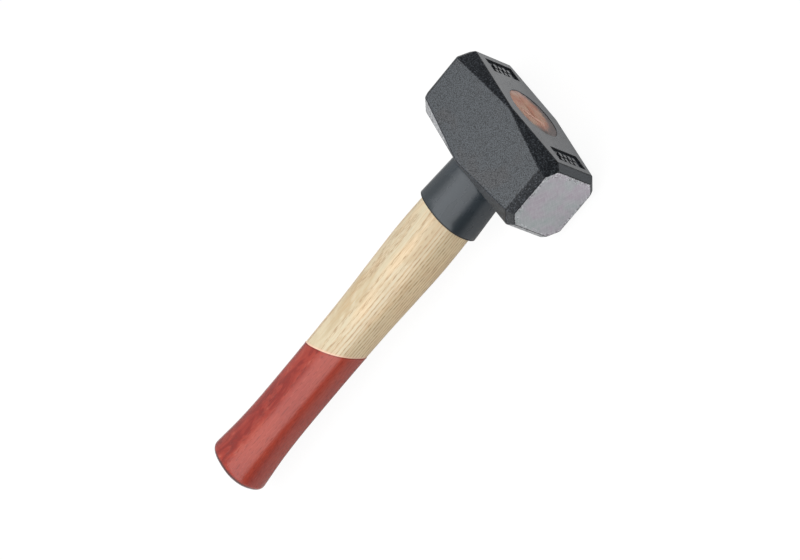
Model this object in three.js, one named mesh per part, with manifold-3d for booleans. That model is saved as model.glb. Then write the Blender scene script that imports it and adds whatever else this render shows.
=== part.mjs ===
// Lump hammer: a German-pattern club hammer of the 1250 g class.
//
// Millimetres, +Z up. The hammer lies on one cheek of its head. The origin is the middle of that
// cheek, +X runs along the handle towards the crown, where the eye opens, and the two striking
// faces look along -Y and +Y.

import * as THREE from 'three';
import { ConvexGeometry } from 'three/addons/geometries/ConvexGeometry.js';
import { mergeVertices } from 'three/addons/utils/BufferGeometryUtils.js';
import Module from 'manifold-3d';

const wasm = await Module();
wasm.setup();

// ---------------------------------------------------------------------------------------------
// Driving dimensions
// ---------------------------------------------------------------------------------------------

const OVERALL_LENGTH = 260;      // crown of the head to butt of the handle
const HEAD_LENGTH = 100;         // striking face to striking face
const HEAD_SIDE = 43;            // square section of the head
const HALF_SIDE = HEAD_SIDE / 2;

// Ends of the head: an octagonal ground face inside a chamfer.
const END_CHAMFER_RUN = 3.8;     // along the head
const END_CHAMFER_DROP = 3.3;    // across the head
const FACE_CORNER_LEG = 5.4;     // cut corner of the ground octagon

// Corner chamfers along the head, narrow at the waist and wide at both ends.
const END_CORNER_LEG = 7.6;
const WAIST_CORNER_LEG = 0.8;
const UPPER_WAIST_SHIFT = 4.0;   // the forged waist of the upper crown corner lies nearer -Y
const LOWER_WAIST_SHIFT = -3.5;  // and that of the lower crown corner nearer +Y

// Stamped fields, one near each end of the crown.
const STAMP_LENGTH = 11;         // along the head
const STAMP_WIDTH = 21;          // across the crown
const STAMP_DEPTH = 1.0;
const STAMP_OFFSET = 36.7;       // middle of the field from the middle of the head
const STAMP_DROP = 1.0;          // middle of the field below the handle axis

// Oval sections: the half thickness is along Z, and the half width, along Y, is a ratio of it.
const GRIP_RATIO = 1.26;
const CROWN_RATIO = 1.38;
const GRIP_POWER = 2.4;          // 2 is an ellipse, more is boxier
const CROWN_POWER = 2.1;
const FIT_GAP = 0.3;             // between the wood, the wedges, the sleeve and the eye

// Half thickness of the eye at the crown, at its waist and at the underside of the head.
const EYE_AT_CROWN = 13.3;
const EYE_AT_WAIST = 12.3;
const EYE_AT_UNDERSIDE = 12.8;

// Sleeve around the neck of the handle.
const SLEEVE_LENGTH = 29.5;
const SLEEVE_AT_HEAD = 14.1;     // outer half thickness
const SLEEVE_AT_RIM = 15.6;
const SLEEVE_EDGE = 0.5;         // broken outer edge at the rim

// Handle.
const TENON_RECESS = 0.3;        // end grain below the crown
const BUTT_RADIUS = 4.5;         // rounding of the butt

// Wooden wedge in a saw cut along the eye, and a steel wedge driven in aslant to it.
const WOOD_WEDGE_DEPTH = 31;
const WOOD_WEDGE_HEAD = 4.4;
const WOOD_WEDGE_TIP = 1.2;
const STEEL_WEDGE_DEPTH = 17;
const STEEL_WEDGE_WIDTH = 15;
const STEEL_WEDGE_HEAD = 2.4;
const STEEL_WEDGE_TIP = 0.8;
const STEEL_WEDGE_ANGLE = THREE.MathUtils.degToRad(59);   // from the long axis of the eye
const STEEL_WEDGE_Y = -4.6;
const STEEL_WEDGE_RISE = 3.5;    // above the handle axis

// Smoothness.
const SIDES = 40;
const ARC_STEPS = 5;

// Places that follow from the sizes.
const CROWN_X = HALF_SIDE;
const UNDERSIDE_X = -HALF_SIDE;
const BUTT_X = CROWN_X - OVERALL_LENGTH;
const TENON_X = CROWN_X - TENON_RECESS;
const SLEEVE_TOP_X = UNDERSIDE_X - FIT_GAP;
const SLEEVE_RIM_X = SLEEVE_TOP_X - SLEEVE_LENGTH;
const AXIS_Z = HALF_SIDE;

// Half thickness of the handle from the sleeve to the flare of the butt: a swell below the sleeve,
// a slim grip and a flare that stops the hand.
const GRIP_STATIONS = [
  [SLEEVE_RIM_X, 13.6],
  [-74, 13.95],
  [-98, 13.4],
  [-122, 12.7],
  [-150, 12.35],
  [-176, 12.25],
  [-200, 12.4],
  [-216, 12.95],
  [-230, 13.95],
  [BUTT_X + BUTT_RADIUS, 14.25],
];

// ---------------------------------------------------------------------------------------------
// Helpers
// ---------------------------------------------------------------------------------------------

// A closed three.js geometry as a solid for booleans.
function toSolid(geometry) {
  const bare = geometry.clone();
  bare.deleteAttribute('normal');
  bare.deleteAttribute('uv');
  const merged = mergeVertices(bare);
  const vertProperties = new Float32Array(merged.attributes.position.array);
  const triVerts = new Uint32Array(merged.index.array);
  return new wasm.Manifold(new wasm.Mesh({ numProp: 3, vertProperties, triVerts }));
}

// A solid back as a three.js geometry.
function toGeometry(solid) {
  const { vertProperties, triVerts, numProp } = solid.getMesh();
  const geometry = new THREE.BufferGeometry();
  geometry.setAttribute('position', new THREE.BufferAttribute(new Float32Array(vertProperties), numProp));
  geometry.setIndex(new THREE.BufferAttribute(new Uint32Array(triVerts), 1));
  geometry.computeVertexNormals();
  return geometry;
}

// Width over thickness of the oval, and its power, at a place along the handle. Both keep one
// value in the hand and change evenly through the sleeve and the head, to a longer, rounder eye.
function ovalAt(x) {
  const share = THREE.MathUtils.clamp((x - SLEEVE_RIM_X) / (CROWN_X - SLEEVE_RIM_X), 0, 1);
  return {
    ratio: THREE.MathUtils.lerp(GRIP_RATIO, CROWN_RATIO, share),
    power: THREE.MathUtils.lerp(GRIP_POWER, CROWN_POWER, share),
  };
}

// A sine or cosine bent so that the pair traces an oval of the given power.
function bend(value, power) {
  return Math.sign(value) * Math.abs(value) ** (2 / power);
}

// A solid with an oval section around the handle axis. The profile is a list of
// [place along X, half thickness], from the axis back to the axis or closed on itself.
function ovalSolid(profile) {
  const points = profile.map(([x, halfThickness]) => new THREE.Vector2(halfThickness, x));
  const geometry = new THREE.LatheGeometry(points, SIDES);
  geometry.rotateZ(-Math.PI / 2);
  const position = geometry.attributes.position;
  for (let i = 0; i < position.count; i += 1) {
    const x = position.getX(i);
    const radius = Math.hypot(position.getY(i), position.getZ(i));
    if (radius > 0) {
      const { ratio, power } = ovalAt(x);
      const y = ratio * radius * bend(position.getY(i) / radius, power);
      const z = radius * bend(position.getZ(i) / radius, power);
      position.setXYZ(i, x, y, z);
    }
  }
  geometry.translate(0, 0, AXIS_Z);
  return toSolid(geometry);
}

// A tapered wedge with its head at the end of the tenon, pointing along -X. Its width is along Y
// and its thickness along Z, centred on the X axis.
function wedgeSolid(depth, headThickness, tipThickness, width, place) {
  const outline = new THREE.Shape([
    new THREE.Vector2(0, -headThickness / 2),
    new THREE.Vector2(0, headThickness / 2),
    new THREE.Vector2(-depth, tipThickness / 2),
    new THREE.Vector2(-depth, -tipThickness / 2),
  ]);
  const geometry = new THREE.ExtrudeGeometry(outline, { depth: width, bevelEnabled: false });
  geometry.translate(0, 0, -width / 2);
  geometry.rotateX(Math.PI / 2);
  geometry.rotateX(place.angle);
  geometry.translate(place.x, place.y, place.z);
  return toSolid(geometry);
}

function namedMesh(name, solid, colour, roughness, metalness) {
  const material = new THREE.MeshStandardMaterial({ color: colour, roughness, metalness });
  const mesh = new THREE.Mesh(toGeometry(solid), material);
  mesh.name = name;
  return mesh;
}

// ---------------------------------------------------------------------------------------------
// Head
// ---------------------------------------------------------------------------------------------

// The eight corners of a square section with cut corners, at a place along the head. The shifts
// move the two corners beside the crown along the head.
function octagonRing(y, halfSide, leg, upperShift = 0, lowerShift = 0) {
  const inner = halfSide - leg;
  const ring = [];
  for (const [sideX, sideZ] of [[1, 1], [1, -1], [-1, 1], [-1, -1]]) {
    const shift = sideX < 0 ? 0 : (sideZ > 0 ? upperShift : lowerShift);
    ring.push(new THREE.Vector3(sideX * inner, y - shift, AXIS_Z + sideZ * halfSide));
    ring.push(new THREE.Vector3(sideX * halfSide, y - shift, AXIS_Z + sideZ * inner));
  }
  return ring;
}

// The forging before its eye is punched: the hull of five octagons along Y.
function headBlank() {
  const faceY = HEAD_LENGTH / 2;
  const chamferY = faceY - END_CHAMFER_RUN;
  const faceHalf = HALF_SIDE - END_CHAMFER_DROP;
  const corners = octagonRing(0, HALF_SIDE, WAIST_CORNER_LEG, UPPER_WAIST_SHIFT, LOWER_WAIST_SHIFT);
  for (const side of [-1, 1]) {
    corners.push(...octagonRing(side * chamferY, HALF_SIDE, END_CORNER_LEG));
    corners.push(...octagonRing(side * faceY, faceHalf, FACE_CORNER_LEG));
  }
  return toSolid(new ConvexGeometry(corners));
}

// Half thickness of the eye, less a margin, as stations from the underside to the crown.
function eyeStations(margin) {
  return [
    [UNDERSIDE_X, EYE_AT_UNDERSIDE - margin],
    [0, EYE_AT_WAIST - margin],
    [CROWN_X, EYE_AT_CROWN - margin],
  ];
}

// The hourglass eye, run out past both faces so that it cuts cleanly.
function eyeCutter() {
  const beyond = 1;
  const bottom = UNDERSIDE_X - beyond;
  const top = CROWN_X + beyond;
  return ovalSolid([
    [bottom, 0],
    [bottom, EYE_AT_UNDERSIDE],
    ...eyeStations(0),
    [top, EYE_AT_CROWN],
    [top, 0],
  ]);
}

function stampCutter(side) {
  const geometry = new THREE.BoxGeometry(2 * STAMP_DEPTH, STAMP_LENGTH, STAMP_WIDTH);
  geometry.translate(CROWN_X, side * STAMP_OFFSET, AXIS_Z - STAMP_DROP);
  return toSolid(geometry);
}

function makeHead() {
  const solid = headBlank()
    .subtract(eyeCutter())
    .subtract(stampCutter(-1))
    .subtract(stampCutter(1));
  return namedMesh('hammer_head', solid, 0x54585c, 0.55, 0.6);
}

// ---------------------------------------------------------------------------------------------
// Wedges
// ---------------------------------------------------------------------------------------------

// The wooden wedge fills the saw cut from side to side. A margin makes the cut for it.
function woodWedgeBlock(margin) {
  const place = { x: TENON_X, y: 0, z: AXIS_Z, angle: 0 };
  return wedgeSolid(
    WOOD_WEDGE_DEPTH + margin,
    WOOD_WEDGE_HEAD + 2 * margin,
    WOOD_WEDGE_TIP + 2 * margin,
    HEAD_SIDE,
    place,
  );
}

// The steel wedge stands aslant. A margin makes the slot for it.
function steelWedgeBlock(margin) {
  const place = {
    x: TENON_X,
    y: STEEL_WEDGE_Y,
    z: AXIS_Z + STEEL_WEDGE_RISE,
    angle: STEEL_WEDGE_ANGLE,
  };
  return wedgeSolid(
    STEEL_WEDGE_DEPTH + margin,
    STEEL_WEDGE_HEAD + 2 * margin,
    STEEL_WEDGE_TIP + 2 * margin,
    STEEL_WEDGE_WIDTH + 2 * margin,
    place,
  );
}

// The part of the handle inside the eye, as one uncut oval plug.
function tenonPlug() {
  const stations = eyeStations(FIT_GAP).filter(([x]) => x < TENON_X);
  return ovalSolid([
    [UNDERSIDE_X, 0],
    ...stations,
    [TENON_X, EYE_AT_CROWN - FIT_GAP],
    [TENON_X, 0],
  ]);
}

function makeWoodenWedge() {
  const solid = woodWedgeBlock(0)
    .intersect(tenonPlug())
    .subtract(steelWedgeBlock(FIT_GAP));
  return namedMesh('wooden_wedge', solid, 0xb77a5a, 0.8, 0);
}

function makeSteelWedge() {
  return namedMesh('steel_wedge', steelWedgeBlock(0), 0xc08a70, 0.5, 0.7);
}

// ---------------------------------------------------------------------------------------------
// Handle and sleeve
// ---------------------------------------------------------------------------------------------

// Smooth stations through the grip, from the sleeve to the butt.
function gripCurve() {
  const knots = GRIP_STATIONS.map(([x, halfThickness]) => new THREE.Vector2(x, halfThickness));
  const steps = 3 * (GRIP_STATIONS.length - 1);
  return new THREE.SplineCurve(knots).getPoints(steps).map((point) => [point.x, point.y]);
}

// The rounded end of the butt, a quarter circle from the flare to the flat end.
function buttArc() {
  const flare = GRIP_STATIONS.at(-1)[1];
  const arc = [];
  for (let step = 1; step <= ARC_STEPS; step += 1) {
    const angle = (step / ARC_STEPS) * (Math.PI / 2);
    const x = BUTT_X + BUTT_RADIUS * (1 - Math.sin(angle));
    arc.push([x, flare - BUTT_RADIUS * (1 - Math.cos(angle))]);
  }
  return arc;
}

function makeHandle() {
  const tenon = eyeStations(FIT_GAP).filter(([x]) => x < TENON_X);
  const profile = [
    [BUTT_X, 0],
    ...buttArc().reverse(),
    ...gripCurve().reverse(),
    ...tenon,
    [TENON_X, EYE_AT_CROWN - FIT_GAP],
    [TENON_X, 0],
  ];
  const solid = ovalSolid(profile)
    .subtract(woodWedgeBlock(FIT_GAP))
    .subtract(steelWedgeBlock(FIT_GAP));
  return namedMesh('handle', solid, 0xe0c89c, 0.5, 0);
}

// The sleeve is a tapered ring seated on the neck of the handle, which is as thick at its top as
// the tenon is at the underside of the head.
function makeSleeve() {
  const boreAtRim = GRIP_STATIONS[0][1] + FIT_GAP;
  const boreAtTop = EYE_AT_UNDERSIDE;
  const rimEdge = [SLEEVE_RIM_X, SLEEVE_AT_RIM - SLEEVE_EDGE];
  const solid = ovalSolid([
    rimEdge,
    [SLEEVE_RIM_X + SLEEVE_EDGE, SLEEVE_AT_RIM],
    [SLEEVE_TOP_X, SLEEVE_AT_HEAD],
    [SLEEVE_TOP_X, boreAtTop],
    [SLEEVE_RIM_X, boreAtRim],
    rimEdge,
  ]);
  return namedMesh('handle_sleeve', solid, 0x3a3d40, 0.35, 0.4);
}

// ---------------------------------------------------------------------------------------------
// Assembly
// ---------------------------------------------------------------------------------------------

const hammer = new THREE.Group();
hammer.add(makeHead());
hammer.add(makeHandle());
hammer.add(makeSleeve());
hammer.add(makeWoodenWedge());
hammer.add(makeSteelWedge());

export default hammer;
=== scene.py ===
"""Lump hammer: the looks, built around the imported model.

Metres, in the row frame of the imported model: the hammer lies on one cheek of its head, +X runs
along the handle towards the crown, and the two striking faces look along -Y and +Y.
"""

import math

import bmesh
import bpy
from mathutils import Matrix, Quaternion, Vector


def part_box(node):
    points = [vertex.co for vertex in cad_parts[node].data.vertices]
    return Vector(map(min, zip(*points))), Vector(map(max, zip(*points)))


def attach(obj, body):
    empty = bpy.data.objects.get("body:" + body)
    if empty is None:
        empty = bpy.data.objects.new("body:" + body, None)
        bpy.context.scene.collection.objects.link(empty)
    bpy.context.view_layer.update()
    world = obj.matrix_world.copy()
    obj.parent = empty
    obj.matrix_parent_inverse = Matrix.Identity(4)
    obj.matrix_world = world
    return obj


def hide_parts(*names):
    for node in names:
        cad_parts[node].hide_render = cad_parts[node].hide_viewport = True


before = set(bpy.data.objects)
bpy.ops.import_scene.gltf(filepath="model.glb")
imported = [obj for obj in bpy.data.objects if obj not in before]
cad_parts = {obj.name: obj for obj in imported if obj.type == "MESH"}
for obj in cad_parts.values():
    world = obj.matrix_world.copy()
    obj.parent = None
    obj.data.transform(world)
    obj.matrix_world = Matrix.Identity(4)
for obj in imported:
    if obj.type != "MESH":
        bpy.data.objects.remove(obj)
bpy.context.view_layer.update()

MM = 0.001

# ---------------------------------------------------------------------------------------------
# Places and sizes, from the frame and a few driving dimensions
# ---------------------------------------------------------------------------------------------

head_low, head_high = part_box("hammer_head")
handle_low, handle_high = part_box("handle")
sleeve_low, sleeve_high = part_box("handle_sleeve")
wood_wedge_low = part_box("wooden_wedge")[0]
steel_wedge_low, steel_wedge_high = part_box("steel_wedge")

CROWN_X = head_high.x
UNDERSIDE_X = head_low.x
HALF_SIDE = (head_high.z - head_low.z) / 2
FACE_Y = head_high.y
AXIS_Z = (head_high.z + head_low.z) / 2
BUTT_X = handle_low.x
TENON_X = handle_high.x
SLEEVE_TOP_X = sleeve_high.x
SLEEVE_RIM_X = sleeve_low.x

# Head
END_CHAMFER_RUN = 3.8 * MM
END_CHAMFER_DROP = 3.3 * MM
FACE_CORNER_LEG = 5.4 * MM
END_CORNER_LEG = 7.6 * MM
WAIST_CORNER_LEG = 0.8 * MM
UPPER_WAIST_SHIFT = 4.0 * MM
LOWER_WAIST_SHIFT = -3.5 * MM
EDGE_RADIUS = 0.45 * MM

# Stamped fields on the crown
STAMP_LENGTH = 11 * MM
STAMP_WIDTH = 21 * MM
STAMP_DEPTH = 1.0 * MM
STAMP_OFFSET = 36.7 * MM
STAMP_DROP = 1.0 * MM
STAMP_DRAFT = 0.2 * MM
STAMP_MARK_HEIGHT = 0.75 * MM

# Oval sections, as half thickness along Z
GRIP_RATIO = 1.26
CROWN_RATIO = 1.38
GRIP_POWER = 2.4
CROWN_POWER = 2.1
EYE_AT_CROWN = 13.3 * MM
EYE_AT_WAIST = 12.3 * MM
EYE_AT_UNDERSIDE = 12.8 * MM
EYE_GAP = 0.05 * MM
TENON_EDGE = 0.12 * MM

# Sleeve
SLEEVE_AT_HEAD = 14.1 * MM
SLEEVE_AT_RIM = 15.6 * MM
SLEEVE_RIM_ROUND = 0.5 * MM

# Handle
GRIP_STATIONS = [
    (SLEEVE_RIM_X, 13.6 * MM),
    (-74 * MM, 13.95 * MM),
    (-98 * MM, 13.4 * MM),
    (-122 * MM, 12.7 * MM),
    (-150 * MM, 12.35 * MM),
    (-176 * MM, 12.25 * MM),
    (-200 * MM, 12.4 * MM),
    (-216 * MM, 12.95 * MM),
    (-230 * MM, 13.95 * MM),
]
BUTT_RADIUS = 4.5 * MM
BUTT_FLARE = 14.25 * MM

# The lacquered grip ends on a slanting line round the handle.
LACQUER_X = -148.1 * MM
LACQUER_SLANT_Y = -0.46
LACQUER_SLANT_Z = -0.31
LACQUER_THICKNESS = 0.12 * MM

# Growth rings of the ash: the pith lies far outside the handle.
RING_CENTRE_Y = -16 * MM
RING_CENTRE_Z = -111 * MM
RING_WIDTH = 1.6 * MM

# Wedges
STEEL_WEDGE_ANGLE = math.radians(59)
STEEL_WEDGE_Y = (steel_wedge_low.y + steel_wedge_high.y) / 2
STEEL_WEDGE_Z = (steel_wedge_low.z + steel_wedge_high.z) / 2
STEEL_WEDGE_WIDTH = 15 * MM
STEEL_WEDGE_HEAD = 2.4 * MM
STEEL_WEDGE_TIP = 0.8 * MM
STEEL_WEDGE_RISE = 0.15 * MM
WOOD_WEDGE_WIDTH = 60 * MM  # more than the eye's, before it is trimmed to the eye
WOOD_WEDGE_HEAD = 4.4 * MM
WOOD_WEDGE_TIP = 1.2 * MM
WOOD_WEDGE_RISE = 0.1 * MM
WEDGE_GAP = 0.08 * MM

# Corners of the round sections
HANDLE_SIDES = 96
SLEEVE_SIDES = 128


def mix(a, b, share):
    return a + (b - a) * share


def smooth_step(value, low, high):
    """0 below low and 1 above high, with a smooth rise between them."""
    share = min(1.0, max(0.0, (value - low) / (high - low)))
    return share * share * (3 - 2 * share)


# ---------------------------------------------------------------------------------------------
# Mesh helpers
# ---------------------------------------------------------------------------------------------

def oval_point(x, half_thickness, turn):
    """A point of the oval section at x; turn 0 is +Y and a quarter turn is +Z."""
    share = min(1.0, max(0.0, (x - SLEEVE_RIM_X) / (CROWN_X - SLEEVE_RIM_X)))
    ratio = mix(GRIP_RATIO, CROWN_RATIO, share)
    exponent = 2 / mix(GRIP_POWER, CROWN_POWER, share)
    c, s = math.cos(turn), math.sin(turn)
    y = math.copysign(abs(c) ** exponent, c) * half_thickness * ratio
    z = math.copysign(abs(s) ** exponent, s) * half_thickness
    return Vector((x, y, AXIS_Z + z))


def oval_ring(x, half_thickness, sides):
    return [oval_point(x, half_thickness, 2 * math.pi * i / sides) for i in range(sides)]


def loft(rings, closed=False):
    """A bmesh skin over rings of points, with a cap on each end. A closed loft joins its last
    ring to its first instead, for a ring-shaped solid."""
    mesh = bmesh.new()
    rows = [[mesh.verts.new(point) for point in ring] for ring in rings]
    pairs = list(zip(rows, rows[1:]))
    if closed:
        pairs.append((rows[-1], rows[0]))
    for near, far in pairs:
        count = len(near)
        for i in range(count):
            j = (i + 1) % count
            mesh.faces.new((near[i], near[j], far[j], far[i]))
    if not closed:
        mesh.faces.new(list(reversed(rows[0])))
        mesh.faces.new(rows[-1])
    bmesh.ops.recalc_face_normals(mesh, faces=mesh.faces)
    return mesh


def new_object(name, mesh):
    data = bpy.data.meshes.new(name)
    mesh.to_mesh(data)
    mesh.free()
    made = bpy.data.objects.new(name, data)
    bpy.context.scene.collection.objects.link(made)
    return made


def boolean(target, cutter, operation):
    """Cuts or joins target with cutter and removes the cutter."""
    modifier = target.modifiers.new("boolean", "BOOLEAN")
    modifier.operation = operation
    modifier.solver = "EXACT"
    modifier.object = cutter
    bake_modifiers(target)
    bpy.data.objects.remove(cutter)


def bake_modifiers(target):
    """Replaces the object's mesh with its evaluated one."""
    graph = bpy.context.evaluated_depsgraph_get()
    baked = bpy.data.meshes.new_from_object(target.evaluated_get(graph))
    old = target.data
    target.modifiers.clear()
    target.data = baked
    bpy.data.meshes.remove(old)


def shade_smooth(target, angle):
    """Smooth shading, with a sharp edge where two faces meet at more than the angle."""
    for polygon in target.data.polygons:
        polygon.use_smooth = True
    target.data.set_sharp_from_angle(angle=angle)


# ---------------------------------------------------------------------------------------------
# Material helpers
# ---------------------------------------------------------------------------------------------

def srgb(red, green, blue):
    """A colour given as 0 to 255 display values, in linear light."""
    def linear(value):
        share = value / 255
        return share / 12.92 if share <= 0.04045 else ((share + 0.055) / 1.055) ** 2.4
    return (linear(red), linear(green), linear(blue), 1.0)


def grey(value):
    """A grey in linear light."""
    return (value, value, value, 1.0)


class Nodes:
    """A short way to write a material's node tree."""

    def __init__(self, name):
        self.material = bpy.data.materials.new(name)
        self.material.use_nodes = True
        self.tree = self.material.node_tree
        self.tree.nodes.clear()
        self.output = self.tree.nodes.new("ShaderNodeOutputMaterial")
        self.shader = self.tree.nodes.new("ShaderNodeBsdfPrincipled")
        self.link(self.shader.outputs["BSDF"], self.output.inputs["Surface"])
        self.place = self.tree.nodes.new("ShaderNodeTexCoord").outputs["Object"]

    def link(self, source, target):
        self.tree.links.new(source, target)

    def feed(self, target, value):
        if isinstance(value, bpy.types.NodeSocket):
            self.link(value, target)
        else:
            target.default_value = value

    def math(self, operation, a, b=0.0, c=0.0):
        node = self.tree.nodes.new("ShaderNodeMath")
        node.operation = operation
        self.feed(node.inputs[0], a)
        self.feed(node.inputs[1], b)
        self.feed(node.inputs[2], c)
        return node.outputs[0]

    def length(self, a, b):
        """Distance from the origin of a point with the coordinates a and b."""
        squares = self.math("ADD", self.math("POWER", a, 2.0), self.math("POWER", b, 2.0))
        return self.math("SQRT", squares)

    def axis(self, index):
        """One coordinate of the place on the object."""
        node = self.tree.nodes.new("ShaderNodeSeparateXYZ")
        self.link(self.place, node.inputs[0])
        return node.outputs[index]

    def scaled(self, x, y, z, source=None):
        """The place on the object, stretched along the axes."""
        node = self.tree.nodes.new("ShaderNodeVectorMath")
        node.operation = "MULTIPLY"
        self.link(source or self.place, node.inputs[0])
        node.inputs[1].default_value = (x, y, z)
        return node.outputs[0]

    def noise(self, vector, scale, detail=3.0, roughness=0.5, distortion=0.0):
        node = self.tree.nodes.new("ShaderNodeTexNoise")
        self.link(vector, node.inputs["Vector"])
        node.inputs["Scale"].default_value = scale
        node.inputs["Detail"].default_value = detail
        node.inputs["Roughness"].default_value = roughness
        node.inputs["Distortion"].default_value = distortion
        return node.outputs["Fac"]

    def scratches(self, vector, slope, along, across):
        """Streaks in the XZ plane: slope in degrees, and how fine they are along and across."""
        node = self.tree.nodes.new("ShaderNodeMapping")
        node.vector_type = "TEXTURE"
        self.link(vector, node.inputs["Vector"])
        node.inputs["Rotation"].default_value = (0.0, math.radians(slope), 0.0)
        stretched = self.scaled(along, 1.0, across, node.outputs[0])
        return self.noise(stretched, 1.0, detail=3.0, roughness=0.65)

    def cells(self, vector, scale):
        """Distance from the middle of the nearest of many random cells."""
        node = self.tree.nodes.new("ShaderNodeTexVoronoi")
        self.link(vector, node.inputs["Vector"])
        node.inputs["Scale"].default_value = scale
        return node.outputs["Distance"]

    def ramp(self, value, low, high, start=0.0, end=1.0):
        """Maps low..high to start..end, clamped and smoothed."""
        node = self.tree.nodes.new("ShaderNodeMapRange")
        node.interpolation_type = "SMOOTHSTEP"
        self.feed(node.inputs["Value"], value)
        node.inputs["From Min"].default_value = low
        node.inputs["From Max"].default_value = high
        node.inputs["To Min"].default_value = start
        node.inputs["To Max"].default_value = end
        return node.outputs["Result"]

    def blend(self, share, a, b, mode="MIX"):
        node = self.tree.nodes.new("ShaderNodeMix")
        node.data_type = "RGBA"
        node.blend_type = mode
        self.feed(node.inputs["Factor"], share)
        self.feed(node.inputs["A"], a)
        self.feed(node.inputs["B"], b)
        return node.outputs["Result"]

    def bump(self, height, distance, strength=1.0):
        node = self.tree.nodes.new("ShaderNodeBump")
        node.inputs["Strength"].default_value = strength
        node.inputs["Distance"].default_value = distance
        self.link(height, node.inputs["Height"])
        return node.outputs["Normal"]

    def set(self, name, value):
        self.feed(self.shader.inputs[name], value)


# ---------------------------------------------------------------------------------------------
# Head materials
# ---------------------------------------------------------------------------------------------

COOL_SHEEN = (0.94, 0.97, 1.0, 1.0)


def steel_share(nodes, reach):
    """1 on bare ground steel and 0 on lacquer. The grinding runs over the edge of the lacquer
    by a ragged margin of about the given reach."""
    from_middle = nodes.math("ABSOLUTE", nodes.axis(1))
    ragged = nodes.noise(nodes.place, 900.0, detail=4.0, roughness=0.65)
    limit = nodes.math("MULTIPLY_ADD", ragged, -2.0 * reach, FACE_Y + reach * 0.85)
    return nodes.ramp(nodes.math("SUBTRACT", from_middle, limit), -0.04 * MM, 0.04 * MM)


def forged_lacquer():
    """Black lacquer over the fine pebbled skin that forging and blasting leave."""
    nodes = Nodes("forged_lacquer")
    pebbles = nodes.noise(nodes.place, 2300.0, detail=3.0, roughness=0.7)
    dents = nodes.cells(nodes.place, 2000.0)
    drift = nodes.noise(nodes.place, 45.0, detail=2.0)
    tone = nodes.math("MULTIPLY_ADD", dents, -0.35, pebbles)
    paint = nodes.blend(nodes.ramp(tone, 0.20, 0.44), srgb(16, 20, 23), srgb(82, 87, 92))
    warm = nodes.blend(nodes.ramp(drift, 0.52, 0.68), srgb(255, 255, 255), srgb(255, 245, 240))
    nodes.set("Base Color", nodes.blend(1.0, paint, warm, "MULTIPLY"))
    nodes.set("Specular Tint", COOL_SHEEN)
    nodes.set("Roughness", nodes.math("MULTIPLY_ADD", pebbles, 0.2, 0.42))
    nodes.set("Normal", nodes.bump(tone, 0.12 * MM, strength=0.5))
    return nodes.material


def crown_lacquer():
    """The same black over the smoother crown, where it lies as an even gloss film."""
    nodes = Nodes("crown_lacquer")
    grain = nodes.noise(nodes.place, 1000.0, detail=3.0, roughness=0.6)
    cloud = nodes.noise(nodes.place, 120.0, detail=3.0)
    film = nodes.blend(nodes.ramp(grain, 0.35, 0.65), srgb(36, 41, 47), srgb(52, 59, 67))
    nodes.set("Base Color", film)
    nodes.set("Specular Tint", COOL_SHEEN)
    nodes.set("Roughness", nodes.math("MULTIPLY_ADD", cloud, 0.2, 0.16))
    nodes.set("Normal", nodes.bump(grain, 0.03 * MM, strength=0.4))
    return nodes.material


def chamfer_lacquer(name, dark, light, gloss):
    """Black lacquer on the chamfers, with light specks and a few pits. The grinding of the
    striking face bares its outer edge. The dark and light colours set each copy's tone: the
    darker copy is painted shade, and the lighter copy, on the chamfers towards the handle,
    is painted light."""
    nodes = Nodes(name)
    specks = nodes.noise(nodes.place, 1200.0, detail=3.0, roughness=0.7)
    pits = nodes.ramp(nodes.cells(nodes.place, 420.0), 0.10, 0.22)
    paint = nodes.blend(nodes.ramp(specks, 0.46, 0.70), dark, light)
    paint = nodes.blend(pits, srgb(16, 16, 18), paint)
    bare = steel_share(nodes, 0.22 * MM)
    nodes.set("Base Color", nodes.blend(bare, paint, srgb(190, 190, 193)))
    nodes.set("Metallic", bare)
    nodes.set("Roughness", nodes.math("MULTIPLY_ADD", specks, 0.2, 0.35))
    nodes.set("Specular IOR Level", gloss)
    height = nodes.math("MULTIPLY_ADD", pits, 0.4, specks)
    nodes.set("Normal", nodes.bump(height, 0.08 * MM, strength=0.4))
    return nodes.material


def rubbed_lacquer():
    """Lacquer rubbed to a pale, dull grey, as on a few of the lower edges."""
    nodes = Nodes("rubbed_lacquer")
    specks = nodes.noise(nodes.place, 900.0, detail=3.0, roughness=0.65)
    patches = nodes.noise(nodes.place, 160.0, detail=3.0, roughness=0.6)
    outward = nodes.math("MULTIPLY_ADD", patches, 16 * MM, nodes.math("ABSOLUTE", nodes.axis(1)))
    worn = nodes.ramp(outward, 18 * MM, 27 * MM)
    rubbed = nodes.math("MULTIPLY", worn, nodes.ramp(specks, 0.3, 0.6))
    nodes.set("Base Color", nodes.blend(rubbed, srgb(62, 65, 68), srgb(160, 162, 165)))
    nodes.set("Roughness", nodes.math("MULTIPLY_ADD", specks, 0.2, 0.4))
    nodes.set("Normal", nodes.bump(specks, 0.05 * MM, strength=0.4))
    return nodes.material


def recess_lacquer():
    """Thick matt black at the bottom of the stamped fields."""
    nodes = Nodes("recess_lacquer")
    grain = nodes.noise(nodes.place, 1500.0, detail=2.0)
    black = nodes.blend(nodes.ramp(grain, 0.4, 0.7), srgb(36, 38, 41), srgb(68, 71, 75))
    nodes.set("Base Color", black)
    nodes.set("Roughness", nodes.math("MULTIPLY_ADD", grain, 0.2, 0.6))
    nodes.set("Specular IOR Level", 0.15)
    nodes.set("Normal", nodes.bump(grain, 0.10 * MM))
    return nodes.material


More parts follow.
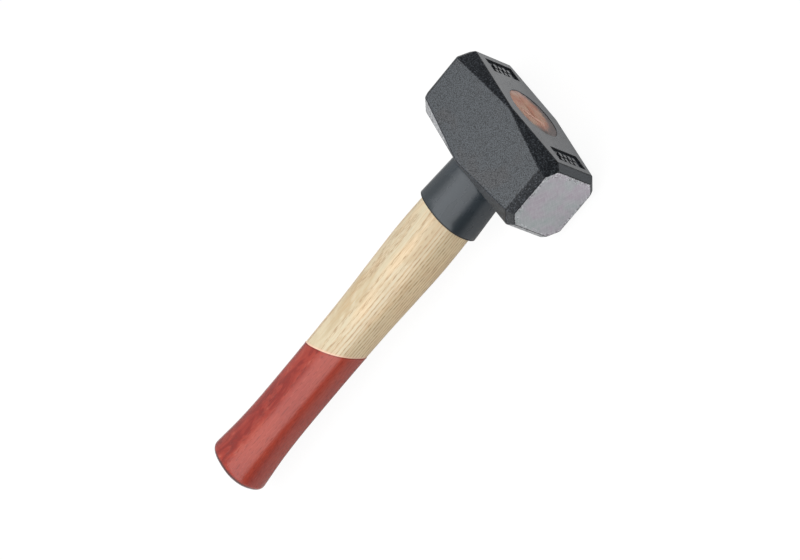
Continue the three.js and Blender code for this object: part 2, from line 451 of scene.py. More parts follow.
def rim_share(nodes):
    """How near a place on a striking face is to its octagonal rim: 0 inside and 1 at the rim.
    The band is a little wider towards the crown and the top."""
    half_face = HALF_SIDE - END_CHAMFER_DROP
    across = nodes.math("ABSOLUTE", nodes.axis(0))
    up = nodes.math("ABSOLUTE", nodes.math("ADD", nodes.axis(2), -AXIS_Z))
    corner = half_face / (2 * half_face - FACE_CORNER_LEG)
    diagonal = nodes.math("MULTIPLY", nodes.math("ADD", across, up), corner)
    reach = nodes.math("MAXIMUM", nodes.math("MAXIMUM", across, up), diagonal)
    lean = nodes.math("ADD", nodes.axis(0), nodes.axis(2))
    reach = nodes.math("MULTIPLY_ADD", lean, 0.02, reach)
    return nodes.ramp(reach, half_face - 3.0 * MM, half_face - 0.3 * MM)


def ground_steel():
    """The bare striking face: crossing fine grinding strokes over a satin surface, with bright
    and dull flecks where the wheel has rolled over the rim."""
    nodes = Nodes("ground_steel")
    strokes = nodes.scratches(nodes.place, 35, 140.0, 1900.0)
    crossed = nodes.scratches(nodes.place, -50, 200.0, 1500.0)
    marks = nodes.math("MULTIPLY_ADD", crossed, 0.6, nodes.math("MULTIPLY", strokes, 0.6))
    cloud = nodes.noise(nodes.place, 90.0, detail=3.0)
    tint = nodes.blend(nodes.ramp(cloud, 0.38, 0.62), srgb(165, 155, 166), srgb(153, 164, 163))
    steel = nodes.blend(nodes.ramp(marks, 0.40, 0.82), tint, srgb(182, 181, 186))
    rim = rim_share(nodes)
    dents = nodes.ramp(nodes.cells(nodes.scaled(1.0, 1.0, 0.6), 700.0), 0.40, 0.22)
    flecks = nodes.ramp(nodes.cells(nodes.place, 900.0), 0.44, 0.24)
    dull = nodes.math("MULTIPLY", dents, rim)
    bright = nodes.math("MULTIPLY", flecks, rim)
    steel = nodes.blend(dull, steel, srgb(122, 120, 124))
    nodes.set("Base Color", nodes.blend(bright, steel, srgb(206, 208, 211)))
    nodes.set("Metallic", 1.0)
    nodes.set("Roughness", nodes.math("MULTIPLY_ADD", marks, 0.14, 0.36))
    height = nodes.math("MULTIPLY_ADD", bright, 0.25, marks)
    nodes.set("Normal", nodes.bump(height, 0.03 * MM, strength=0.5))
    return nodes.material


# ---------------------------------------------------------------------------------------------
# Wood materials
# ---------------------------------------------------------------------------------------------

def ash_figure(nodes):
    """Growth rings, open pores and slow colour drift of ash, as values from 0 to 1. The rings
    lie nearly level, so they show as close lines on the flank and as wide bands on top."""
    sway = nodes.noise(nodes.scaled(11.0, 45.0, 45.0), 1.0, detail=5.0, roughness=0.58)
    side = nodes.math("ADD", nodes.axis(1), RING_CENTRE_Y)
    drop = nodes.math("ADD", nodes.axis(2), RING_CENTRE_Z)
    radius = nodes.length(side, drop)
    radius = nodes.math("MULTIPLY_ADD", nodes.axis(0), 0.012, radius)
    radius = nodes.math("MULTIPLY_ADD", sway, 2.6 * MM, radius)
    ring = nodes.math("FRACT", nodes.math("DIVIDE", radius, RING_WIDTH))
    early = nodes.math("MULTIPLY", nodes.ramp(ring, 0.0, 0.22), nodes.ramp(ring, 0.62, 0.26))
    dashes = nodes.noise(nodes.scaled(260.0, 2600.0, 2600.0), 1.0, detail=1.0)
    fibre = nodes.noise(nodes.scaled(60.0, 2200.0, 2200.0), 1.0, detail=3.0, roughness=0.6)
    how_open = nodes.ramp(early, 0.0, 1.0, 0.12, 1.0)
    pores = nodes.math("MULTIPLY", nodes.ramp(dashes, 0.46, 0.62), how_open)
    drift = nodes.noise(nodes.scaled(18.0, 90.0, 90.0), 1.0, detail=3.0)
    return early, fibre, pores, drift


def bare_ash(nodes, figure, depth):
    """Colour of the varnished ash: lighter and warmer lower down, greyer along the top with
    blotches, and over them the lines of the rings, the fibres and the pores."""
    early, fibre, pores, drift = figure
    low_side = nodes.math("MULTIPLY_ADD", drift, -10 * MM, depth)
    low_side = nodes.ramp(low_side, 3.0 * MM, -8.0 * MM)
    tone = nodes.blend(low_side, srgb(208, 196, 167), srgb(228, 210, 172))
    crest = nodes.math("MULTIPLY_ADD", drift, 8 * MM, depth)
    tone = nodes.blend(nodes.ramp(crest, 12 * MM, 18 * MM, 0.0, 0.8), tone, srgb(197, 189, 163))
    tone = nodes.blend(nodes.ramp(drift, 0.5, 0.72, 0.0, 0.6), tone, srgb(222, 196, 158))
    patch = nodes.noise(nodes.scaled(32.0, 80.0, 80.0), 1.0, detail=3.0, distortion=0.8)
    patch = nodes.math("MULTIPLY", nodes.ramp(patch, 0.52, 0.68), nodes.ramp(depth, 9 * MM, 12 * MM))
    tone = nodes.blend(nodes.math("MULTIPLY", patch, 0.55), tone, srgb(176, 154, 118))
    lines = nodes.math("MULTIPLY", early, nodes.ramp(depth, 12.6 * MM, 10.8 * MM, 0.3, 1.0))
    tone = nodes.blend(nodes.math("MULTIPLY", lines, 0.42), tone, srgb(184, 138, 94))
    tone = nodes.blend(nodes.ramp(fibre, 0.35, 0.7, 0.0, 0.25), tone, srgb(196, 168, 126))
    streaks = nodes.noise(nodes.scaled(70.0, 1100.0, 1100.0), 1.0, detail=3.0, roughness=0.6)
    tone = nodes.blend(nodes.ramp(streaks, 0.50, 0.68, 0.0, 0.4), tone, srgb(184, 144, 102))
    return nodes.blend(nodes.math("MULTIPLY", pores, 0.55), tone, srgb(140, 104, 68))


def red_lacquer(nodes, figure, depth):
    """Colour of the lacquered grip. The top, towards +Y, shows a swirling figure, and the
    pores are dark. The even darkening over that top band is painted shade."""
    early, _, pores, drift = figure
    tone = nodes.blend(nodes.ramp(drift, 0.3, 0.7), srgb(160, 64, 49), srgb(147, 53, 43))
    tone = nodes.blend(nodes.math("MULTIPLY", early, 0.22), tone, srgb(184, 84, 66))
    top = nodes.ramp(depth, 8 * MM, 11 * MM)
    figured_and_shaded = nodes.math("MULTIPLY", top, nodes.ramp(nodes.axis(1), -8 * MM, 0.0))
    # Painted shade: the whole figured band on top is darkened, besides its swirls.
    tone = nodes.blend(nodes.math("MULTIPLY", figured_and_shaded, 0.45), tone, srgb(142, 44, 34))
    swirl = nodes.noise(nodes.scaled(55.0, 130.0, 130.0), 1.0, detail=3.0, distortion=1.6)
    darker = nodes.math("MULTIPLY", nodes.ramp(swirl, 0.44, 0.58), figured_and_shaded)
    lighter = nodes.math("MULTIPLY", nodes.ramp(swirl, 0.42, 0.30), figured_and_shaded)
    tone = nodes.blend(nodes.math("MULTIPLY", darker, 0.8), tone, srgb(122, 34, 28))
    tone = nodes.blend(nodes.math("MULTIPLY", lighter, 0.5), tone, srgb(186, 96, 76))
    return nodes.blend(nodes.math("MULTIPLY", pores, 0.55), tone, srgb(98, 26, 20))


def handle_wood():
    """Varnished ash down to the slanting line, then red lacquer that lets the grain show. The
    lacquer ends in a darker bead, and the rounded edge of the butt is painted dark as painted shade."""
    nodes = Nodes("handle_ash_and_lacquer")
    figure = ash_figure(nodes)
    _, fibre, pores, _ = figure
    depth = nodes.math("ADD", nodes.axis(2), -AXIS_Z)

    slant = nodes.math("MULTIPLY_ADD", nodes.axis(1), -LACQUER_SLANT_Y, nodes.axis(0))
    slant = nodes.math("MULTIPLY_ADD", depth, -LACQUER_SLANT_Z, slant)
    beyond = nodes.math("SUBTRACT", slant, LACQUER_X)
    red_share = nodes.ramp(beyond, 0.1 * MM, -0.1 * MM)
    bleed = nodes.ramp(beyond, 1.5 * MM, 0.3 * MM, 0.0, 0.6)
    bead = nodes.math("MULTIPLY", nodes.ramp(beyond, -1.2 * MM, -0.3 * MM), red_share)
    # Painted shade: the last few millimetres at the butt turn near black.
    butt = nodes.ramp(nodes.axis(0), BUTT_X + 3.6 * MM, BUTT_X + 2.2 * MM, 0.0, 0.9)

    wood = nodes.blend(bleed, bare_ash(nodes, figure, depth), srgb(238, 190, 166))
    red = red_lacquer(nodes, figure, depth)
    red = nodes.blend(nodes.math("MULTIPLY", bead, 0.3), red, srgb(96, 24, 20))
    red = nodes.blend(butt, red, srgb(62, 30, 30))
    nodes.set("Base Color", nodes.blend(red_share, wood, red))
    gloss = nodes.math("MULTIPLY_ADD", fibre, 0.16, 0.26)
    nodes.set("Specular IOR Level", 0.42)
    nodes.set("Roughness", nodes.math("MULTIPLY_ADD", red_share, -0.1, gloss))
    height = nodes.math("ADD", nodes.math("MULTIPLY", pores, -0.8), nodes.math("MULTIPLY", fibre, 0.4))
    nodes.set("Normal", nodes.bump(height, 0.06 * MM, strength=0.6))
    return nodes.material


def stained_end_grain(name, colour, dark, light):
    """End grain soaked with stain: ring bands, open pores, and black overspray that fades in
    from the rim of the eye. A pale pink crescent towards +Y is a painted highlight."""
    nodes = Nodes(name)
    early, _, pores, _ = ash_figure(nodes)
    blot = nodes.noise(nodes.place, 190.0, detail=4.0, roughness=0.6)
    tone = nodes.blend(nodes.ramp(blot, 0.38, 0.62), colour, light)
    tone = nodes.blend(nodes.math("MULTIPLY", early, 0.4), tone, dark)
    tone = nodes.blend(nodes.math("MULTIPLY", pores, 0.6), tone, dark)
    wide = nodes.math("DIVIDE", nodes.axis(1), EYE_AT_CROWN * CROWN_RATIO)
    high = nodes.math("DIVIDE", nodes.math("ADD", nodes.axis(2), -AXIS_Z), EYE_AT_CROWN)
    blur = nodes.noise(nodes.place, 320.0, detail=4.0, roughness=0.65)
    reach = nodes.math("MULTIPLY_ADD", blur, 0.6, nodes.length(wide, high))
    reach = nodes.math("MULTIPLY_ADD", wide, -0.18, reach)
    reach = nodes.math("MULTIPLY_ADD", high, -0.26, reach)
    spray = nodes.math("MULTIPLY", nodes.ramp(reach, 0.92, 1.36), 0.9)
    tone = nodes.blend(nodes.ramp(blot, 0.42, 0.3, 0.0, 0.5), tone, dark)
    # Painted highlight: a pale pink crescent towards the +Y end of the eye.
    tone = nodes.blend(nodes.ramp(wide, 0.6, 0.9, 0.0, 0.6), tone, srgb(226, 192, 182))
    nodes.set("Base Color", nodes.blend(spray, tone, srgb(92, 90, 92)))
    nodes.set("Roughness", nodes.math("MULTIPLY_ADD", blot, 0.2, 0.45))
    height = nodes.math("SUBTRACT", blot, pores)
    nodes.set("Normal", nodes.bump(height, 0.15 * MM, strength=0.7))
    return nodes.material


def sleeve_lacquer():
    """Smooth semi-gloss black, with faint orange peel, rubbed patches, and a near-black, dull band at
    the rim that is painted shade.
    """
    nodes = Nodes("sleeve_black")
    peel = nodes.noise(nodes.place, 700.0, detail=2.0)
    rub = nodes.noise(nodes.scaled(40.0, 90.0, 90.0), 1.0, detail=5.0, roughness=0.65)
    black = nodes.blend(nodes.ramp(rub, 0.35, 0.7), srgb(39, 46, 51), srgb(46, 53, 59))
    gloss = nodes.math("MULTIPLY_ADD", rub, 0.14, 0.2)
    # Painted shade: the last millimetre at the rim turns near black and dull.
    rim = nodes.ramp(nodes.axis(0), SLEEVE_RIM_X + 1.1 * MM, SLEEVE_RIM_X + 0.7 * MM)
    nodes.set("Base Color", nodes.blend(rim, black, srgb(10, 11, 13)))
    nodes.set("Specular Tint", COOL_SHEEN)
    nodes.set("Roughness", nodes.math("MULTIPLY_ADD", rim, 0.4, gloss))
    nodes.set("Normal", nodes.bump(peel, 0.05 * MM, strength=0.5))
    return nodes.material


def wedge_steel():
    """Steel sanded flush with the end grain and tinted by its stain. Its pale pinkish colour also
    stands in for the glint on its head, a painted highlight.
    """
    nodes = Nodes("wedge_steel")
    scratch = nodes.noise(nodes.scaled(300.0, 400.0, 2600.0), 1.0, detail=3.0)
    stain = nodes.noise(nodes.place, 400.0, detail=4.0)
    stained = nodes.ramp(stain, 0.45, 0.65)
    # Painted highlight: the pale pink base stands in for the glint on the wedge's head; the darker
    # patches are stain.
    nodes.set("Base Color", nodes.blend(stained, srgb(222, 178, 156), srgb(182, 112, 90)))
    nodes.set("Metallic", nodes.ramp(stain, 0.45, 0.65, 0.4, 0.2))
    nodes.set("Roughness", nodes.math("MULTIPLY_ADD", scratch, 0.2, 0.38))
    nodes.set("Normal", nodes.bump(scratch, 0.04 * MM, strength=0.5))
    return nodes.material


# ---------------------------------------------------------------------------------------------
# Head
# ---------------------------------------------------------------------------------------------

def octagon_points(y, half_side, leg, upper_shift=0.0, lower_shift=0.0):
    """A square section with cut corners. The two corners at the crown can be moved along -Y."""
    inner = half_side - leg
    points = []
    for side_x, side_z in ((1, 1), (1, -1), (-1, 1), (-1, -1)):
        shift = 0.0 if side_x < 0 else (upper_shift if side_z > 0 else lower_shift)
        points.append(Vector((side_x * inner, y - shift, AXIS_Z + side_z * half_side)))
        points.append(Vector((side_x * half_side, y - shift, AXIS_Z + side_z * inner)))
    return points


def head_blank():
    """The forging before the eye is pierced: octagons at the waist and at both ends."""
    chamfer_y = FACE_Y - END_CHAMFER_RUN
    face_half = HALF_SIDE - END_CHAMFER_DROP
    points = octagon_points(0.0, HALF_SIDE, WAIST_CORNER_LEG, UPPER_WAIST_SHIFT, LOWER_WAIST_SHIFT)
    for side in (-1, 1):
        points += octagon_points(side * chamfer_y, HALF_SIDE, END_CORNER_LEG)
        points += octagon_points(side * FACE_Y, face_half, FACE_CORNER_LEG)
    mesh = bmesh.new()
    for point in points:
        mesh.verts.new(point)
    bmesh.ops.convex_hull(mesh, input=mesh.verts)
    bmesh.ops.dissolve_limit(mesh, angle_limit=math.radians(1), verts=mesh.verts, edges=mesh.edges)
    return new_object("head_visual", mesh)


def eye_cutter():
    beyond = 1 * MM
    stations = [
        (UNDERSIDE_X - beyond, EYE_AT_UNDERSIDE),
        (UNDERSIDE_X, EYE_AT_UNDERSIDE),
        (0.0, EYE_AT_WAIST),
        (CROWN_X, EYE_AT_CROWN),
        (CROWN_X + beyond, EYE_AT_CROWN),
    ]
    return new_object("eye_cutter", loft([oval_ring(x, half, HANDLE_SIDES) for x, half in stations]))


def add_block(mesh, middle, low_half, high_half, low_x, high_x):
    """Adds a block along X with slanting sides; each half is its half size along Y and Z."""
    corners = []
    for x, (half_y, half_z) in ((low_x, low_half), (high_x, high_half)):
        for side_y, side_z in ((-1, -1), (1, -1), (1, 1), (-1, 1)):
            corners.append(mesh.verts.new((x, middle.y + side_y * half_y, middle.z + side_z * half_z)))
    bmesh.ops.convex_hull(mesh, input=corners)


def stamp_cutter(side):
    """The block that sinks a stamped field into the crown."""
    mesh = bmesh.new()
    half_y, half_z = STAMP_LENGTH / 2, STAMP_WIDTH / 2
    inner = (half_y - STAMP_DRAFT, half_z - STAMP_DRAFT)
    outer = (half_y + STAMP_DRAFT, half_z + STAMP_DRAFT)
    middle = Vector((CROWN_X, side * STAMP_OFFSET, AXIS_Z - STAMP_DROP))
    add_block(mesh, middle, inner, outer, CROWN_X - STAMP_DEPTH, CROWN_X + STAMP_DEPTH)
    return new_object("stamp_cutter", mesh)


def stamp_marks(side):
    """Two rows of plain raised pads on the floor of a stamped field."""
    mesh = bmesh.new()
    pad_width, long_pad, short_pad, pitch = 2.4 * MM, 3.8 * MM, 2.8 * MM, 3.5 * MM
    first_z = AXIS_Z - STAMP_DROP + STAMP_WIDTH / 2 - 4.4 * MM
    floor_x = CROWN_X - STAMP_DEPTH
    foot_x = floor_x - 0.2 * MM
    for row, row_y in enumerate((-3.1 * MM, 1.0 * MM)):
        for i in range(4):
            length = long_pad if (row + i) % 2 else short_pad
            middle_z = first_z - (i + 0.35 * row) * pitch
            middle = Vector((floor_x, side * STAMP_OFFSET + row_y, middle_z))
            low_half = (length / 2, pad_width / 2)
            high_half = (low_half[0] - STAMP_DRAFT, low_half[1] - STAMP_DRAFT)
            add_block(mesh, middle, low_half, high_half, foot_x, floor_x + STAMP_MARK_HEIGHT)
    return new_object("stamp_marks", mesh)


FLAT, CROWN, SHADED_CHAMFER, LIT_LOWER_CHAMFER, RUBBED, GROUND, RECESS = range(7)


def in_stamped_field(point):
    """Whether a point of the head lies below the crown, between the walls of a stamped field."""
    slack = 0.01 * MM
    along = abs(abs(point.y) - STAMP_OFFSET) < STAMP_LENGTH / 2 + slack
    across = abs(point.z - AXIS_Z + STAMP_DROP) < STAMP_WIDTH / 2 + slack
    return along and across and CROWN_X - STAMP_DEPTH - slack < point.x < CROWN_X - slack


def finish_stamped_field(head):
    """Gives the fresh faces of a stamped field their finishes."""
    for polygon in head.data.polygons:
        if polygon.material_index == FLAT and in_stamped_field(polygon.center):
            polygon.material_index = CROWN if polygon.normal.x > 0.5 else RECESS


def head_finish(middle, normal):
    """The finish of a face of the head before it is stamped."""
    if abs(normal.y) > 0.99 and abs(middle.y) > FACE_Y - END_CHAMFER_RUN / 2:
        return GROUND
    if normal.x > 0.97 or (normal.x > 0.5 and abs(normal.z) < 0.1):
        return CROWN
    if max(abs(share) for share in normal) > 0.97:
        return FLAT
    if normal.x > -0.3:
        return SHADED_CHAMFER
    rear_upper = middle.y > 0 and normal.z > 0.5
    return RUBBED if rear_upper or abs(normal.z) < 0.3 else LIT_LOWER_CHAMFER


def round_edges(head):
    """Small rounds on all edges. Those of the eye at the crown keep the crown's finish."""
    bevel = head.modifiers.new("edges", "BEVEL")
    bevel.width = EDGE_RADIUS
    bevel.segments = 3
    bevel.limit_method = "ANGLE"
    bevel.angle_limit = math.radians(15)
    # The rounds take the darker chamfer lacquer, whose dark tone is painted shade.
    bevel.material = SHADED_CHAMFER
    bake_modifiers(head)
    for polygon in head.data.polygons:
        at_crown = polygon.center.x > CROWN_X - 2 * EDGE_RADIUS
        along = abs(polygon.center.y) < EYE_AT_CROWN * 1.5
        across = abs(polygon.center.z - AXIS_Z) < EYE_AT_CROWN + 1 * MM
        if at_crown and along and across:
            polygon.material_index = CROWN


def make_head():
    head = head_blank()
    boolean(head, eye_cutter(), "DIFFERENCE")
    finishes = (
        forged_lacquer(),
        crown_lacquer(),
        # The first copy is darker, as painted shade. The second, for the chamfers towards the handle,
        # is lighter, as painted light.
        chamfer_lacquer("chamfer_lacquer", srgb(26, 29, 33), srgb(82, 87, 93), 0.2),
        chamfer_lacquer("lit_lower_chamfer_lacquer", srgb(38, 41, 44), srgb(84, 88, 92), 0.4),
        rubbed_lacquer(),
        ground_steel(),
        recess_lacquer(),
    )
    for finish in finishes:
        head.data.materials.append(finish)
    for polygon in head.data.polygons:
        polygon.material_index = head_finish(polygon.center, polygon.normal)
    round_edges(head)
    for side in (-1, 1):
        boolean(head, stamp_cutter(side), "DIFFERENCE")
        boolean(head, stamp_marks(side), "UNION")
        finish_stamped_field(head)
    shade_smooth(head, math.radians(40))
    head.modifiers.new("flat faces stay flat", "WEIGHTED_NORMAL").keep_sharp = True
    bake_modifiers(head)
    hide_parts("hammer_head")
    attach(head, "root")


# ---------------------------------------------------------------------------------------------
# Handle, sleeve and wedges
# ---------------------------------------------------------------------------------------------

def grip_half_thickness(x):
    """Catmull-Rom through the stations, so the outline has no corners."""
    stations = [(BUTT_X + BUTT_RADIUS, BUTT_FLARE)] + list(reversed(GRIP_STATIONS))
    stations.append((0.0, EYE_AT_WAIST - EYE_GAP))
    if x <= stations[0][0]:
        inward = (stations[0][0] - x) / BUTT_RADIUS
        return BUTT_FLARE - BUTT_RADIUS * (1 - math.sqrt(max(0.0, 1 - inward * inward)))
    for i in range(len(stations) - 1):
        if x <= stations[i + 1][0]:
            break
    x1, t1 = stations[i]
    x2, t2 = stations[i + 1]
    x0, t0 = stations[i - 1] if i > 0 else (2 * x1 - x2, t1)
    x3, t3 = stations[i + 2] if i + 2 < len(stations) else (2 * x2 - x1, t2)
    slope1 = (t2 - t0) / (x2 - x0)
    slope2 = (t3 - t1) / (x3 - x1)
    s = (x - x1) / (x2 - x1)
    span = x2 - x1
    return ((2 * s ** 3 - 3 * s ** 2 + 1) * t1 + (s ** 3 - 2 * s ** 2 + s) * span * slope1
            + (3 * s ** 2 - 2 * s ** 3) * t2 + (s ** 3 - s ** 2) * span * slope2)


def handle_half_thickness(x):
    """The whole handle, from the butt to the end of the tenon."""
    if x > 0:
        return mix(EYE_AT_WAIST, EYE_AT_CROWN, x / CROWN_X) - EYE_GAP
    if x > UNDERSIDE_X:
        return mix(EYE_AT_WAIST, EYE_AT_UNDERSIDE, x / UNDERSIDE_X) - EYE_GAP
    if x > SLEEVE_RIM_X:
        share = (UNDERSIDE_X - x) / (UNDERSIDE_X - SLEEVE_RIM_X)
        return mix(EYE_AT_UNDERSIDE - EYE_GAP, GRIP_STATIONS[0][1], share)
    return grip_half_thickness(x)


def lacquer_slant(station):
    """How far the rings of the mesh lean along the lacquer line, fading away from it."""
    return smooth_step(46 * MM - abs(station - LACQUER_X), 0.0, 34 * MM)


def lacquer_build_up(station):
    """Thickness of the lacquer, with a small bead at its edge."""
    below = LACQUER_X - station
    bead = 0.5 * math.exp(-((below - 0.7 * MM) / (0.5 * MM)) ** 2)
    return LACQUER_THICKNESS * smooth_step(below, -0.1 * MM, 0.3 * MM) * (1 + bead)


def handle_ring(station, sides):
    ring = []
    lean = lacquer_slant(station)
    for i in range(sides):
        turn = 2 * math.pi * i / sides
        rough = oval_point(station, handle_half_thickness(station), turn)
        slant = LACQUER_SLANT_Y * rough.y + LACQUER_SLANT_Z * (rough.z - AXIS_Z)
        x = station + lean * slant
        ring.append(oval_point(x, handle_half_thickness(x) + lacquer_build_up(station), turn))
    return ring


def handle_stations():
    """Places of the rings from the butt to the tenon: close together at the butt and at the
    edge of the lacquer, even elsewhere."""
    stations = []
    arc_steps = 10
    for i in range(1, arc_steps + 1):
        angle = math.pi / 2 * i / arc_steps
        stations.append(BUTT_X + BUTT_RADIUS * (1 - math.cos(angle)))
    step = 1.6 * MM
    x = stations[-1] + step
    while x < LACQUER_X - 2.5 * MM:
        stations.append(x)
        x += step
    fine_step = 0.2 * MM
    x = LACQUER_X - 2.4 * MM
    while x < LACQUER_X + 0.6 * MM:
        stations.append(x)
        x += fine_step
    x = LACQUER_X + 1.2 * MM
    while x < TENON_X - 0.8 * MM:
        stations.append(x)
        x += step
    stations.append(TENON_X - TENON_EDGE)
    return stations


def handle_rings():
    """Rings from the flat of the butt to the end of the tenon, with a few inside each end."""
    butt = BUTT_FLARE - BUTT_RADIUS
    end = handle_half_thickness(TENON_X) - TENON_EDGE
    rings = [oval_ring(BUTT_X, butt * share, HANDLE_SIDES) for share in (0.2, 0.5, 0.8, 0.99)]
    rings += [handle_ring(station, HANDLE_SIDES) for station in handle_stations()]
    rings += [oval_ring(TENON_X, end * share, HANDLE_SIDES) for share in (1.0, 0.97, 0.8, 0.5, 0.2)]
    return rings


def make_handle():
    handle = new_object("handle_visual", loft(handle_rings()))
    end_grain = stained_end_grain(
        "stained_ash_end", srgb(206, 136, 108), srgb(150, 78, 62), srgb(214, 174, 146))
    handle.data.materials.append(handle_wood())
    handle.data.materials.append(end_grain)
    for polygon in handle.data.polygons:
        if polygon.center.x > TENON_X - 0.5 * MM:
            polygon.material_index = 1
    boolean(handle, wooden_wedge_block("cut", WEDGE_GAP), "DIFFERENCE")
    boolean(handle, steel_wedge_block("cut", WEDGE_GAP), "DIFFERENCE")
    shade_smooth(handle, math.radians(35))
    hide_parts("handle")
    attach(handle, "root")


def wedge_block(name, low_x, high_x, tip, head, width):
    """A tapered block from its tip at low_x to its head at high_x, thick along Z."""
    rings = []
    for x, thickness in ((low_x, tip), (high_x, head)):
        y, z = width / 2, thickness / 2
        rings.append([Vector(corner) for corner in ((x, -y, -z), (x, y, -z), (x, y, z), (x, -y, z))])
    return new_object(name, loft(rings))


def wooden_wedge_block(name, gap=0.0, rise=0.0):
    """The wooden wedge, with gap added all round for the saw cut that holds it, and its head
    raised above the end grain."""
    block = wedge_block(name, wood_wedge_low.x - gap, TENON_X + rise, WOOD_WEDGE_TIP + 2 * gap,
                        WOOD_WEDGE_HEAD + 2 * gap, WOOD_WEDGE_WIDTH + 2 * gap)
    block.data.transform(Matrix.Translation((0.0, 0.0, AXIS_Z)))
    return block


def steel_wedge_block(name, gap=0.0, rise=0.0):
    """The steel wedge aslant in the wood, with gap added all round and its head raised."""
    block = wedge_block(name, steel_wedge_low.x - gap, TENON_X + rise, STEEL_WEDGE_TIP + 2 * gap,
                        STEEL_WEDGE_HEAD + 2 * gap, STEEL_WEDGE_WIDTH + 2 * gap)
    block.data.transform(Matrix.Rotation(STEEL_WEDGE_ANGLE, 4, "X"))
    block.data.transform(Matrix.Translation((0.0, STEEL_WEDGE_Y, STEEL_WEDGE_Z)))
    return block


def soften(target, width):
    """Small rounds of the given width on the sharp edges."""
    bevel = target.modifiers.new("edges", "BEVEL")
    bevel.width = width
    bevel.segments = 2
    bevel.limit_method = "ANGLE"
    bevel.angle_limit = math.radians(35)
    bake_modifiers(target)
    shade_smooth(target, math.radians(40))


def make_wooden_wedge():
    """The wooden wedge, trimmed to the eye and split by the steel one."""
    wedge = wooden_wedge_block("wooden_wedge_visual", rise=WOOD_WEDGE_RISE)
    places = (UNDERSIDE_X, 0.0, TENON_X + 0.5 * MM)
    plug_rings = [oval_ring(x, handle_half_thickness(x), HANDLE_SIDES) for x in places]
    boolean(wedge, new_object("plug", loft(plug_rings)), "INTERSECT")
    boolean(wedge, steel_wedge_block("cut", WEDGE_GAP, 1 * MM), "DIFFERENCE")
    soften(wedge, 0.12 * MM)
    end_grain = stained_end_grain(
        "stained_wedge_wood", srgb(208, 134, 104), srgb(156, 80, 62), srgb(214, 168, 138))
    wedge.data.materials.append(end_grain)
    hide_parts("wooden_wedge")
    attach(wedge, "root")


def make_steel_wedge():
    wedge = steel_wedge_block("steel_wedge_visual", rise=STEEL_WEDGE_RISE)
    soften(wedge, 0.2 * MM)
    wedge.data.materials.append(wedge_steel())
    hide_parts("steel_wedge")
    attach(wedge, "root")


def make_sleeve():
    """A tapered tube. Its rim has a small round outside and stands just clear of the wood."""
    rim_gap = 0.3 * MM
    profile = [(SLEEVE_TOP_X, EYE_AT_UNDERSIDE), (SLEEVE_RIM_X, GRIP_STATIONS[0][1] + rim_gap)]
    arc_steps = 4
    for i in range(arc_steps + 1):
        angle = math.pi / 2 * i / arc_steps
        x = SLEEVE_RIM_X + SLEEVE_RIM_ROUND * (1 - math.cos(angle))
        profile.append((x, SLEEVE_AT_RIM - SLEEVE_RIM_ROUND * (1 - math.sin(angle))))
    length_steps = 8
    for i in range(1, length_steps + 1):
        share = i / length_steps
        x = mix(SLEEVE_RIM_X + SLEEVE_RIM_ROUND, SLEEVE_TOP_X - 0.4 * MM, share)
        profile.append((x, mix(SLEEVE_AT_RIM, SLEEVE_AT_HEAD, share)))
    profile.append((SLEEVE_TOP_X, SLEEVE_AT_HEAD - 0.4 * MM))
    rings = [oval_ring(x, half, SLEEVE_SIDES) for x, half in profile]
    sleeve = new_object("sleeve_visual", loft(rings, closed=True))
    shade_smooth(sleeve, math.radians(50))
    sleeve.data.materials.append(sleeve_lacquer())
    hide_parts("handle_sleeve")
    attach(sleeve, "root")


# ---------------------------------------------------------------------------------------------
# Studio
# ---------------------------------------------------------------------------------------------

def make_camera():
    """A long lens, looking down on the hammer from beyond its front striking face."""
    azimuth = math.radians(27.75)
    elevation = math.radians(45.25)
    roll = math.radians(-70.6)
    distance = 2.0315
    aim = Vector((-94.7 * MM, -3.2 * MM, AXIS_Z))
    back = Vector((
        math.sin(azimuth) * math.cos(elevation),
        -math.cos(azimuth) * math.cos(elevation),
        math.sin(elevation),
    ))
    data = bpy.data.cameras.new("camera")
    data.lens = 173.9
    data.sensor_width = 36.0
    data.clip_start = 0.1
    data.clip_end = 50.0
    camera = bpy.data.objects.new("camera", data)
    bpy.context.scene.collection.objects.link(camera)
    camera.location = aim + back * distance
    camera.rotation_mode = "QUATERNION"
    camera.rotation_quaternion = (-back).to_track_quat("-Z", "Y") @ Quaternion((0, 0, 1), roll)
    bpy.context.scene.camera = camera


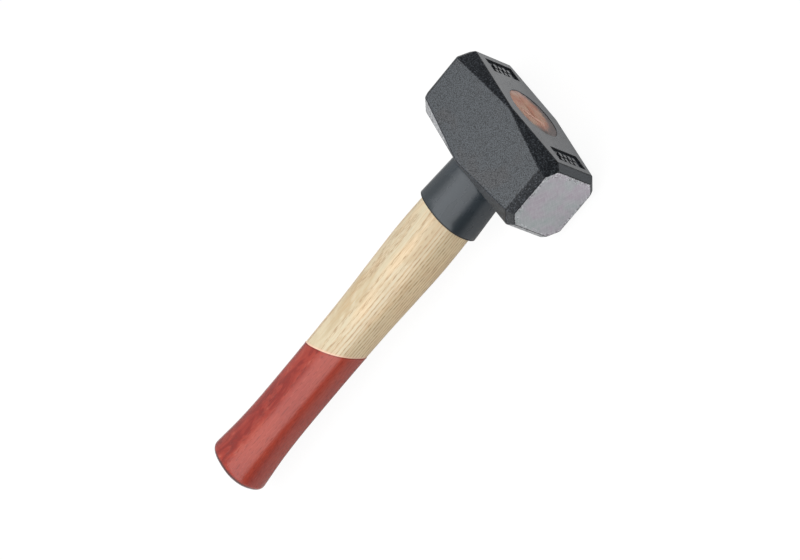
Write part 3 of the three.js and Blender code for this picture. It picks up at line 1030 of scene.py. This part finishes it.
def make_floor():
    """Pale paper. The camera sees it evenly lit, with only a trace of the contact shadow. The
    hammer sees it darken in front and behind, less so by the head, as painted shade, and glow a
    little beside the crown, a painted glow that stands in for light from below."""
    mesh = bmesh.new()
    bmesh.ops.create_grid(mesh, x_segments=2, y_segments=2, size=6.0)
    floor = new_object("floor", mesh)
    nodes = Nodes("floor_paper")
    fibres = nodes.noise(nodes.place, 60.0, detail=3.0)
    # Painted shade: the paper's colour falls off in front of and behind the hammer.
    by_head = nodes.ramp(nodes.axis(0), -0.075, -0.03)
    front = nodes.math("MULTIPLY_ADD", by_head, 0.08, nodes.axis(1))
    front = nodes.ramp(front, -0.16, -0.02, 0.3, 1.0)
    behind = nodes.ramp(nodes.axis(1), 0.14, 0.04, 0.65, 1.0)
    share = nodes.math("MULTIPLY", front, behind)
    # Painted light: beside the crown the paper glows, and is made darker there to keep the glow even.
    crown_side = nodes.ramp(nodes.axis(0), -0.05, 0.03)
    paper = nodes.blend(crown_side, grey(0.70), grey(0.42))
    lit_from_below = nodes.math("MULTIPLY", share, crown_side)
    nodes.set("Base Color", nodes.blend(share, grey(0.0), paper))
    nodes.set("Emission Color", grey(1.0))
    nodes.set("Emission Strength", nodes.math("MULTIPLY", lit_from_below, 0.6))
    nodes.set("Roughness", nodes.ramp(fibres, 0.0, 1.0, 0.85, 0.95))
    nodes.set("Specular IOR Level", 0.0)
    seen = nodes.tree.nodes.new("ShaderNodeLightPath").outputs["Is Camera Ray"]
    lit = nodes.tree.nodes.new("ShaderNodeBsdfDiffuse")
    lit.inputs["Color"].default_value = grey(0.08)
    glow = nodes.tree.nodes.new("ShaderNodeEmission")
    glow.inputs["Strength"].default_value = 0.94
    white = nodes.tree.nodes.new("ShaderNodeAddShader")
    nodes.link(lit.outputs[0], white.inputs[0])
    nodes.link(glow.outputs[0], white.inputs[1])
    pick = nodes.tree.nodes.new("ShaderNodeMixShader")
    nodes.link(seen, pick.inputs["Fac"])
    nodes.link(nodes.shader.outputs[0], pick.inputs[1])
    nodes.link(white.outputs[0], pick.inputs[2])
    nodes.link(pick.outputs[0], nodes.output.inputs["Surface"])
    floor.data.materials.append(nodes.material)


def make_softbox(name, place, turn, length, width, radiance):
    """A lamp face level above the hammer, its long side turned from the X axis."""
    data = bpy.data.lights.new(name, "AREA")
    data.shape = "RECTANGLE"
    data.size = length
    data.size_y = width
    data.energy = radiance * math.pi * length * width
    data.color = (1.0, 0.99, 0.985)
    light = bpy.data.objects.new(name, data)
    bpy.context.scene.collection.objects.link(light)
    light.location = place
    light.rotation_euler = (0.0, 0.0, turn)


def glow_towards(tree, direction, edge, core, outside, inside):
    """Brightness of the world around a direction. It goes from outside to inside between two
    cosines of the angle to that direction: edge and core."""
    way = tree.nodes.new("ShaderNodeTexCoord")
    towards = tree.nodes.new("ShaderNodeVectorMath")
    towards.operation = "DOT_PRODUCT"
    towards.inputs[1].default_value = direction
    level = tree.nodes.new("ShaderNodeMapRange")
    level.interpolation_type = "SMOOTHSTEP"
    level.inputs["From Min"].default_value = edge
    level.inputs["From Max"].default_value = core
    level.inputs["To Min"].default_value = outside
    level.inputs["To Max"].default_value = inside
    tree.links.new(way.outputs["Generated"], towards.inputs[0])
    tree.links.new(towards.outputs["Value"], level.inputs["Value"])
    return level.outputs["Result"]


def make_world():
    """White where the camera looks. Around the hammer it is dim, with a bright wall beyond its
    rear face and a bright card beyond its butt."""
    world = bpy.data.worlds.new("studio")
    bpy.context.scene.world = world
    world.use_nodes = True
    tree = world.node_tree
    tree.nodes.clear()
    output = tree.nodes.new("ShaderNodeOutputWorld")
    seen = tree.nodes.new("ShaderNodeBackground")
    seen.inputs["Color"].default_value = grey(1.0)
    around = tree.nodes.new("ShaderNodeBackground")
    wall = glow_towards(tree, (-0.7, 0.714, 0.0), 0.3, 0.65, 0.12, 0.82)
    card = glow_towards(tree, (-0.9, -0.4, 0.17), 0.8, 0.93, 0.0, 1.3)
    total = tree.nodes.new("ShaderNodeMath")
    total.operation = "ADD"
    path = tree.nodes.new("ShaderNodeLightPath")
    pick = tree.nodes.new("ShaderNodeMixShader")
    tree.links.new(wall, total.inputs[0])
    tree.links.new(card, total.inputs[1])
    tree.links.new(total.outputs[0], around.inputs["Strength"])
    tree.links.new(path.outputs["Is Camera Ray"], pick.inputs["Fac"])
    tree.links.new(around.outputs[0], pick.inputs[1])
    tree.links.new(seen.outputs[0], pick.inputs[2])
    tree.links.new(pick.outputs[0], output.inputs["Surface"])


make_head()
make_handle()
make_wooden_wedge()
make_steel_wedge()
make_sleeve()

make_camera()
make_floor()
make_world()
make_softbox("overhead", Vector((-0.386, -0.279, 0.55)), math.radians(52), 1.58, 0.62, 2.62)
bpy.context.scene.view_settings.view_transform = "Standard"
